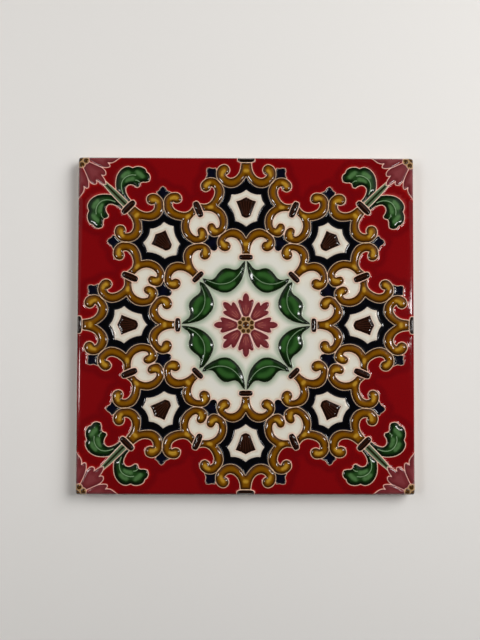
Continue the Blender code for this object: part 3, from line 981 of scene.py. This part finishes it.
@dataclass(frozen=True)
class Slab:
    """Sizes of the tile's body, in millimetres."""

    half_side: float = 100.0
    ground: float = 9.0
    corner: float = 1.6
    # Turn between the points of a corner, and the smallest corner that gets them
    corner_step: float = 15.0
    corner_least: float = 0.05
    front_round: float = 2.0
    back_chamfer: float = 0.5

    def inset(self, point: Point) -> float:
        """Measure how far a point lies inwards from the tile's outline.

        Args:
            point: the point, seen from above.

        Returns:
            The distance, less than nought outside the outline.
        """
        middle = self.half_side - self.corner
        over_x, over_y = abs(point[0]) - middle, abs(point[1]) - middle
        if over_x > 0.0 and over_y > 0.0:
            return self.corner - math.hypot(over_x, over_y)
        return self.corner - max(over_x, over_y)

    def surface(self, point: Point) -> float:
        """Height of the plain ground, which rolls over at the edge."""
        fall = self.front_round - min(max(self.inset(point), 0.0), self.front_round)
        return self.ground - self.front_round + math.sqrt(max(self.front_round ** 2 - fall ** 2, 0.0))

    def rim(self, inset: float, step: float) -> Line:
        """Draw the tile's outline at an inset, from the Y axis to the diagonal.

        Args:
            inset: distance inwards.
            step: wanted spacing.

        Returns:
            Points from the axis to the diagonal.
        """
        middle = self.half_side - self.corner
        edge = self.half_side - inset
        radius = self.corner - inset
        straight = middle if radius > 0.0 else edge
        count = round(straight / step)
        line = [(straight * index / count, edge) for index in range(count + 1)]
        if radius > self.corner_least:
            for index in (1, 2, 3):
                turn = math.radians(90.0 - index * self.corner_step)
                line.append((middle + radius * math.cos(turn), middle + radius * math.sin(turn)))
        return line


class Nearness:
    """Tells how far a point is from the nearest of some lines."""

    def __init__(self, lines: list[Line], gap: float = 0.12) -> None:
        """Index points along the lines.

        Args:
            lines: the lines.
            gap: spacing of the points.
        """
        self.lines = lines
        spots: Line = []
        for line in lines:
            for start, end in zip(line, line[1:]):
                count = max(1, math.ceil(math.dist(start, end) / gap))
                spots += [(start[0] + (end[0] - start[0]) * index / count,
                           start[1] + (end[1] - start[1]) * index / count) for index in range(count)]
            spots.append(line[-1])
        self.tree = KDTree(len(spots))
        for index, (x, y) in enumerate(spots):
            self.tree.insert((x, y, 0.0), index)
        self.tree.balance()

    def away(self, point: Point) -> float:
        """Distance to the nearest line."""
        return self.tree.find((point[0], point[1], 0.0))[2]


@dataclass
class ReliefFace:
    """The decorated face: one eighth is triangulated, then mirrored and turned.

    Edit-mode operators can't shape cells as fine as these, so points are laid along the
    raised lines, beside them, along the ribs and over the rounded edge, and are joined by
    triangles that keep every raised line. All sizes are in millimetres.
    """

    drawing: Drawing
    slab: Slab
    # Raised line: height of its crest over the ground, and half its width at the foot
    crest: float = 0.5
    line_half: float = 0.34
    # Rows of points beside the lines over flat and over bulging glaze, the least bulge that
    # counts, and the share of a row's distance that it keeps from other lines
    rows: tuple[float, ...] = (0.341, 0.7, 1.25)
    dome_rows: tuple[float, ...] = (0.34, 0.6, 0.95, 1.4, 2.0, 2.7)
    dome_least: float = 0.1
    row_share: float = 0.93
    # Ribs: distance of the row beside one, half width and height of its ridge
    rib_row: float = 0.45
    rib_half: float = 0.585
    rib_rise: float = 0.16
    rib_clear: float = 0.12
    # Bulge in the middle of a flower's eye
    eye_radius: float = 1.3
    eye_rise: float = 0.35
    # Points over open ground: their spacing, and that of their columns as a share of it
    fill_gap: float = 1.3
    fill_column: float = 0.866
    # Least distances between points in a row, on the eighth's sides and over open ground
    row_room: float = 0.24
    side_room: float = 0.4
    fill_room: float = 0.6
    # How far rows stay from the eighth's sides and from the tile's edge
    row_depth: float = 0.2
    row_inset: float = 0.1
    # How far the fill stays from the outermost row, the eighth's sides and the tile's edge
    fill_clear: float = 0.4
    fill_depth: float = 0.6
    fill_inset: float = 2.6
    # The same for points on the eighth's sides
    side_clear: float = 0.1
    side_inset: float = 0.2
    # Rings of points over the rounded edge, and the width over which the relief fades out there
    rim_insets: tuple[float, ...] = (0.0, 0.12, 0.45, 0.95, 1.5, 2.0)
    rim_step: float = 1.25
    fade: float = 1.7
    # How far past the eighth the raised lines are laid, so that triangles meet its sides
    margin: float = 1.4
    # A point this near to the axis or the diagonal is on it, and two this near are one
    snap: tuple[float, float] = (0.02, 0.03)
    same: float = 0.001
    spots: list[Point] = field(default_factory=list)
    edges: list[tuple[int, int]] = field(default_factory=list)
    taken: dict[tuple[int, int], list[Point]] = field(default_factory=dict)

    def __post_init__(self) -> None:
        """Sort the cells from the top one down and index the lines for distances."""
        ranks = {kind: rank for rank, kind in enumerate(Kind)}
        self.cells = sorted(self.drawing.cells, key=lambda cell: ranks[cell.kind])
        self.raised = Nearness(self.drawing.lines)
        self.ribs = Nearness(self.drawing.ribs)
        self.tops = Nearness(self.drawing.tops)
        self.leaves = Nearness([cell.outline for cell in self.cells if cell.kind is Kind.WREATH])

    def kind(self, point: Point) -> Kind:
        """Kind of the top cell that holds a point, and red where none does."""
        return next((cell.kind for cell in self.cells if cell.holds(point)), Kind.RED)

    def _domed(self, point: Point) -> bool:
        """Tell whether a point's glaze bulges."""
        relief = self.kind(point).relief
        return relief.crown > relief.rim + self.dome_least

    def _settled(self, point: Point) -> Point:
        """Move a point that is within a hair of the eighth's sides onto them.

        Args:
            point: the point.

        Returns:
            The point, or the place on the side.
        """
        x, y = point
        if abs(x) < self.snap[0]:
            return 0.0, y
        if abs(y - x) < self.snap[1]:
            return (x + y) / 2.0, (x + y) / 2.0
        return x, y

    @staticmethod
    def _depth(point: Point) -> float:
        """Distance of a point inside the eighth from its two straight sides."""
        return min(point[0], (point[1] - point[0]) * math.sqrt(0.5))

    def _put(self, point: Point, room: float) -> int:
        """Add a point unless it lies too near others.

        Args:
            point: the point.
            room: least distance to the points that are there, at most that of the fill.

        Returns:
            Its index, or -1.
        """
        column, line = int(point[0] // self.fill_room), int(point[1] // self.fill_room)
        for i in (column - 1, column, column + 1):
            for j in (line - 1, line, line + 1):
                if any(math.dist(point, other) < room for other in self.taken.get((i, j), ())):
                    return -1
        self.taken.setdefault((column, line), []).append(point)
        self.spots.append(point)
        return len(self.spots) - 1

    def _chain(self, line: Line) -> None:
        """Add a line of points with the edges between them.

        Args:
            line: the points; where one is there already, that one is used.
        """
        marks = []
        for point in [self._settled(point) for point in line]:
            mark = self._put(point, self.same)
            marks.append(mark if mark >= 0 else self._nearest(point))
        self.edges += [(a, b) for a, b in zip(marks, marks[1:]) if a != b]

    def _nearest(self, point: Point) -> int:
        """Index of the point that is there already."""
        return min(range(len(self.spots)), key=lambda index: math.dist(self.spots[index], point))

    def _lay_frame(self) -> None:
        """Lay the rings of the rounded edge and the eighth's sides."""
        for inset in self.rim_insets:
            self._chain(self.slab.rim(inset, self.rim_step))
        self._chain([(0.0, 0.0), (0.0, self.slab.half_side)])
        self._chain([(0.0, 0.0), self.slab.rim(0.0, self.rim_step)[-1]])

    def _lay_lines(self) -> None:
        """Lay the crests of the raised lines that reach into the eighth."""
        for line in self.drawing.lines:
            for reaches, points in groupby(line, self._reaches):
                run = list(points)
                if reaches and len(run) > 1:
                    self._chain(run)

    def _reaches(self, point: Point) -> bool:
        """Tell whether a point is in the eighth or near enough to it."""
        return min(self._depth(point), self.slab.inset(point)) > -self.margin

    def _lay_rows(self, near: Nearness, rows: tuple[float, ...], clear: float,
                  domed: bool | None = None) -> None:
        """Lay rows of points on both sides of lines.

        Args:
            near: the lines that the rows follow.
            rows: distances of the rows.
            clear: least distance of a row's point from a raised line.
            domed: whether only bulging or only flat glaze takes them; None for both.
        """
        for line in near.lines:
            closed = math.dist(line[0], line[-1]) < 10.0 * self.same
            for index, (x, y) in enumerate(line[:-1] if closed else line):
                before = line[index - 1 if index else (-2 if closed else 0)]
                after = line[min(index + 1, len(line) - 1)]
                length = math.dist(before, after) or 1.0
                across = ((before[1] - after[1]) / length, (after[0] - before[0]) / length)
                for row in rows:
                    for side in (row, -row) if row else (0.0,):
                        spot = self._settled((x + side * across[0], y + side * across[1]))
                        if not self._within(spot, self.row_depth, self.row_inset):
                            continue
                        if near.away(spot) < self.row_share * row - self.same:
                            continue
                        if self.raised.away(spot) < clear:
                            continue
                        if domed is None or self._domed(spot) == domed:
                            self._put(spot, self.row_room)

    def _within(self, point: Point, depth: float, inset: float) -> bool:
        """Tell whether a point is on a side of the eighth or well inside, and inside the tile's edge.

        Args:
            point: the point.
            depth: least distance from the sides, for a point that isn't on them.
            inset: least distance from the tile's edge.

        Returns:
            True where it is.
        """
        deep = self._depth(point)
        return (deep == 0.0 or deep >= depth) and self.slab.inset(point) >= inset

    def _lay_fill(self) -> None:
        """Lay points over the open ground between the rows, closer where the glaze bulges."""
        gap, half_side = self.fill_gap, self.slab.half_side
        across = self.fill_column * gap
        for column in range(int(half_side / across) + 1):
            for place in range(int(half_side / gap) + 1):
                spot = (column * across, (place + 0.5 * (column % 2)) * gap)
                if not self._within(spot, self.fill_depth, self.fill_inset):
                    continue
                if self.raised.away(spot) < self.rows[-1] + self.fill_clear:
                    continue
                if self.ribs.away(spot) < self.rib_row + self.fill_clear:
                    continue
                if not (column % 2 or place % 2) or self._domed(spot):
                    self._put(spot, self.fill_room)
        for step in range(1, int(2.0 * half_side / gap)):
            far = 0.5 * step * gap
            for spot in ((0.0, far), (far, far)):
                if self.slab.inset(spot) <= self.side_inset:
                    continue
                if self.raised.away(spot) <= self.line_half + self.side_clear:
                    continue
                if not step % 2 or self._domed(spot):
                    self._put(spot, self.side_room)

    def height(self, point: Point, kind: Kind) -> float:
        """Height of the face over the tile's back.

        Args:
            point: the point, seen from above.
            kind: cell that holds it.

        Returns:
            The height, which fades to the plain ground's at the edge.
        """
        relief, away = kind.relief, self.raised.away(point)
        if away < self.line_half:
            rise = self.crest + (relief.rim - self.crest) * (away / self.line_half) ** 2
        else:
            share = min(1.0, (away - self.line_half) / (relief.reach - self.line_half))
            rise = relief.rim + (relief.crown - relief.rim) * (1.0 - (1.0 - share) ** 2)
            if kind is Kind.BEAD:
                rise += self.eye_rise * max(0.0, 1.0 - (self.tops.away(point) / self.eye_radius) ** 2)
            if kind in (Kind.LEAF, Kind.WREATH, Kind.KNOT, Kind.BELL):
                rise += self.rib_rise * max(0.0, 1.0 - self.ribs.away(point) / self.rib_half)
        share = min(max(self.slab.inset(point), 0.0) / self.fade, 1.0)
        return self.slab.surface(point) + rise * share * share * (3.0 - 2.0 * share)

    def eighth(self) -> tuple[list[Point], list[tuple[int, ...]], list[Kind]]:
        """Triangulate the eighth between the Y axis and the diagonal.

        Returns:
            Its points, its triangles and the kind of each triangle's cell.
        """
        self._lay_frame()
        self._lay_lines()
        self._lay_rows(self.ribs, (0.0, self.rib_row), self.line_half + self.rib_clear)
        self._lay_rows(self.raised, self.rows, 0.0, domed=False)
        self._lay_rows(self.raised, self.dome_rows, 0.0, domed=True)
        self._lay_fill()
        weld, least_area = 1e-4, 1e-7
        made = delaunay_2d_cdt([Vector(spot) for spot in self.spots], self.edges, [], 0, weld)
        points = [self._settled((spot[0], spot[1])) for spot in made[0]]
        faces: list[tuple[int, ...]] = []
        kinds: list[Kind] = []
        for a, b, c in made[2]:
            (ax, ay), (bx, by), (cx, cy) = points[a], points[b], points[c]
            area = (bx - ax) * (cy - ay) - (cx - ax) * (by - ay)
            middle = ((ax + bx + cx) / 3.0, (ay + by + cy) / 3.0)
            if min(self._depth(middle), self.slab.inset(middle)) > 0.0 and abs(area) > least_area:
                faces.append((a, b, c) if area > 0.0 else (a, c, b))
                kinds.append(self.kind(middle))
        used = sorted({mark for face in faces for mark in face})
        place = {mark: index for index, mark in enumerate(used)}
        faces = [(place[a], place[b], place[c]) for a, b, c in faces]
        return [points[mark] for mark in used], faces, kinds

    def mesh(self, name: str) -> bpy.types.Mesh:
        """Build the whole face.

        Args:
            name: the mesh's name.

        Returns:
            Eight copies of the eighth, with the distances that the glazes read on its points.
        """
        points, faces, kinds = self.eighth()
        tones = list(Glaze)
        owner = {mark: kind for face, kind in zip(faces, kinds) for mark in face}
        heights = [self.height(point, owner[mark]) for mark, point in enumerate(points)]
        vertices, triangles, slots = [], [], []
        for quarter in range(4):
            for flip in (False, True):
                first = len(vertices)
                spots = turned(mirrored(points) if flip else points, 90.0 * quarter)
                vertices += [(x * MM, y * MM, z * MM) for (x, y), z in zip(spots, heights)]
                for face in faces:
                    triangles.append([first + mark for mark in (face[::-1] if flip else face)])
                slots += [tones.index(kind.glaze) for kind in kinds]
        mesh = bpy.data.meshes.new(name)
        mesh.from_pydata(vertices, [], triangles)
        mesh.polygons.foreach_set("material_index", slots)
        for label, near in (("edge_mm", self.raised), ("rib_mm", self.ribs), ("top_mm", self.tops),
                            ("leaf_mm", self.leaves)):
            carried = mesh.attributes.new(label, "FLOAT", "POINT")
            carried.data.foreach_set("value", [near.away(point) for point in points] * 8)
        return mesh


@dataclass
class Tile:
    """The whole tile: decorated face, rounded rim, bare sides and flat back."""

    slab: Slab = field(default_factory=Slab)
    # Spacing of the points along the outlines, and the gap that the eighths are welded over
    step: float = 0.75
    weld: float = 0.004
    # The outlines are written at the scale of the tile's outer edge, seen from 430 mm above.
    # The face stands 2.8 mm nearer to the eye and looks larger, so its real size is this share
    face_share: float = 0.9935

    def pattern(self) -> Drawing:
        """Gather what reaches into the eighth between the Y axis and the diagonal.

        Returns:
            One drawing, in millimetres.
        """
        medallion = Medallion(self.step)
        flower = CentralFlower(self.step)
        spray = CornerSpray(self.step)
        gathered = Drawing()
        for part in (medallion.drawing(), flower.drawing()):
            gathered.add(part)
            gathered.add(part.rotated(-45.0))
        gathered.add(medallion.between())
        gathered.add(LeafWreath(self.step).drawing())
        gathered.add(flower.eye(0.0))
        gathered.add(spray.drawing().rotated(-45.0))
        gathered.add(flower.eye(spray.corner, spray.eye_scale).rotated(-45.0))
        return gathered.scaled(self.face_share)

    def build(self) -> bpy.types.Object:
        """Model and dress the tile.

        Returns:
            The tile, placed on the floor.
        """
        mesh = ReliefFace(self.pattern(), self.slab).mesh("glazed_tile")
        tile = bpy.data.objects.new("glazed_tile", mesh)
        bpy.context.scene.collection.objects.link(tile)
        bpy.ops.object.select_all(action="DESELECT")
        bpy.context.view_layer.objects.active = tile
        tile.select_set(True)
        bpy.ops.object.mode_set(mode="EDIT")
        bpy.ops.mesh.select_all(action="SELECT")
        bpy.ops.mesh.remove_doubles(threshold=self.weld * MM)
        self._add_body()
        bpy.ops.object.mode_set(mode="OBJECT")
        bpy.ops.object.shade_smooth()
        self._dress(tile)
        return tile

    def _add_body(self) -> None:
        """Extrude the face's edge into the sides, the chamfer and the back."""
        drop = (self.slab.ground - self.slab.front_round - self.slab.back_chamfer) * MM
        narrow = (self.slab.half_side - self.slab.back_chamfer) / self.slab.half_side
        bpy.ops.mesh.select_mode(type="EDGE")
        bpy.ops.mesh.select_all(action="DESELECT")
        bpy.ops.mesh.select_non_manifold()
        bpy.ops.mesh.extrude_region_move(TRANSFORM_OT_translate={"value": (0.0, 0.0, -drop)})
        bpy.ops.mesh.mark_sharp()
        bpy.ops.mesh.extrude_region_move(
            TRANSFORM_OT_translate={"value": (0.0, 0.0, -self.slab.back_chamfer * MM)})
        bpy.ops.transform.resize(value=(narrow, narrow, 1.0), center_override=(0.0, 0.0, 0.0))
        bpy.ops.mesh.mark_sharp()
        bpy.ops.mesh.edge_face_add()

    def _dress(self, tile: bpy.types.Object) -> None:
        """Give the tile its glazes and its bare clay.

        Args:
            tile: the finished mesh.
        """
        made = {finish.name: finish.material() for finish in FINISHES}
        tones = list(Glaze)
        for tone in tones:
            tile.data.materials.append(made[tone])
        low = (self.slab.ground - self.slab.front_round) * MM
        for face in tile.data.polygons:
            if face.center.z < self.slab.back_chamfer * MM:
                face.material_index = tones.index(Glaze.BACK)
            elif face.center.z < low:
                face.material_index = tones.index(Glaze.SIDE)


@dataclass(frozen=True)
class Lamp:
    """Oblong lamp that looks at the tile: its place and size in metres, and its power."""

    name: str
    place: tuple[float, float, float]
    size: tuple[float, float]
    watts: float
    mirrored_in_glaze: bool = True

    def hang(self) -> None:
        """Hang the lamp."""
        data = bpy.data.lights.new(self.name, "AREA")
        data.shape = "RECTANGLE"
        data.size, data.size_y = self.size
        data.energy = self.watts
        lamp = bpy.data.objects.new(self.name, data)
        lamp.visible_glossy = self.mirrored_in_glaze
        lamp.location = self.place
        lamp.rotation_euler = (-Vector(self.place)).to_track_quat("-Z", "Y").to_euler()
        bpy.context.scene.collection.objects.link(lamp)


@dataclass
class Studio:
    """Pale floor, soft daylight from the upper right and the camera above the tile."""

    lens_mm: float = 40.0
    camera_mm: tuple[float, float, float] = (-6.4, -10.1, 429.7)
    camera_turn: tuple[float, float, float] = (1.78, -0.40, 0.13)
    floor_side: float = 3.0
    floor_hex: str = "D9D6D2"
    floor_roughness: float = 0.9
    room_hex: str = "E9EBEE"
    room_strength: float = 0.03
    # The two large lamps light the tile without a veil over its glaze, the small panes give
    # the glints, and the faint wide glows give the soft sheen round them
    lamps: tuple[Lamp, ...] = (
        Lamp("window", (0.85, 0.58, 0.85), (0.80, 0.80), 15.8, False),
        Lamp("wall", (-0.60, 0.35, 0.60), (0.60, 0.60), 2.2, False),
        Lamp("right_pane", (0.38, 0.03, 0.50), (0.055, 0.22), 0.85),
        Lamp("left_pane", (-0.36, -0.06, 0.50), (0.065, 0.13), 0.6),
        Lamp("right_glow", (0.48, 0.28, 0.50), (0.55, 0.55), 0.3),
        Lamp("left_glow", (-0.48, 0.24, 0.50), (0.55, 0.55), 0.2))

    def floor(self) -> bpy.types.Object:
        """Lay the floor.

        Returns:
            A wide pale plane at the tile's back face.
        """
        bpy.ops.object.select_all(action="DESELECT")
        bpy.ops.mesh.primitive_plane_add(size=self.floor_side)
        floor = bpy.context.object
        floor.name = "floor"
        paint, _, shader = start_material("matt_pale_floor")
        shader.inputs["Base Color"].default_value = linear(self.floor_hex)
        shader.inputs["Roughness"].default_value = self.floor_roughness
        floor.data.materials.append(paint)
        return floor

    def camera(self) -> None:
        """Place the camera as in the photograph, looking down on the tile."""
        data = bpy.data.cameras.new("camera")
        data.lens = self.lens_mm
        data.clip_start = 0.01
        camera = bpy.data.objects.new("camera", data)
        camera.location = [place * MM for place in self.camera_mm]
        camera.rotation_euler = [math.radians(turn) for turn in self.camera_turn]
        bpy.context.scene.collection.objects.link(camera)
        bpy.context.scene.camera = camera

    def lights(self) -> None:
        """Hang the lamps and light the room."""
        for lamp in self.lamps:
            lamp.hang()
        world = bpy.data.worlds.new("room")
        world.use_nodes = True
        sky = world.node_tree.nodes["Background"]
        sky.inputs["Color"].default_value = linear(self.room_hex)
        sky.inputs["Strength"].default_value = self.room_strength
        bpy.context.scene.world = world
        # The default view transform washes the deep glazes out
        bpy.context.scene.view_settings.view_transform = "Standard"


def main() -> None:
    """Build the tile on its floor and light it."""
    logging.basicConfig(level=logging.INFO, format="%(message)s")
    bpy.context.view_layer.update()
    tile = Tile().build()
    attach(tile, "root")
    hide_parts("azulejo_tile")
    LOG.info("%s: %d faces", tile.name, len(tile.data.polygons))
    studio = Studio()
    floor = studio.floor()
    LOG.info("%s", floor.name)
    studio.lights()
    studio.camera()
    LOG.info("lights and camera")


if __name__ == "__main__":
    main()
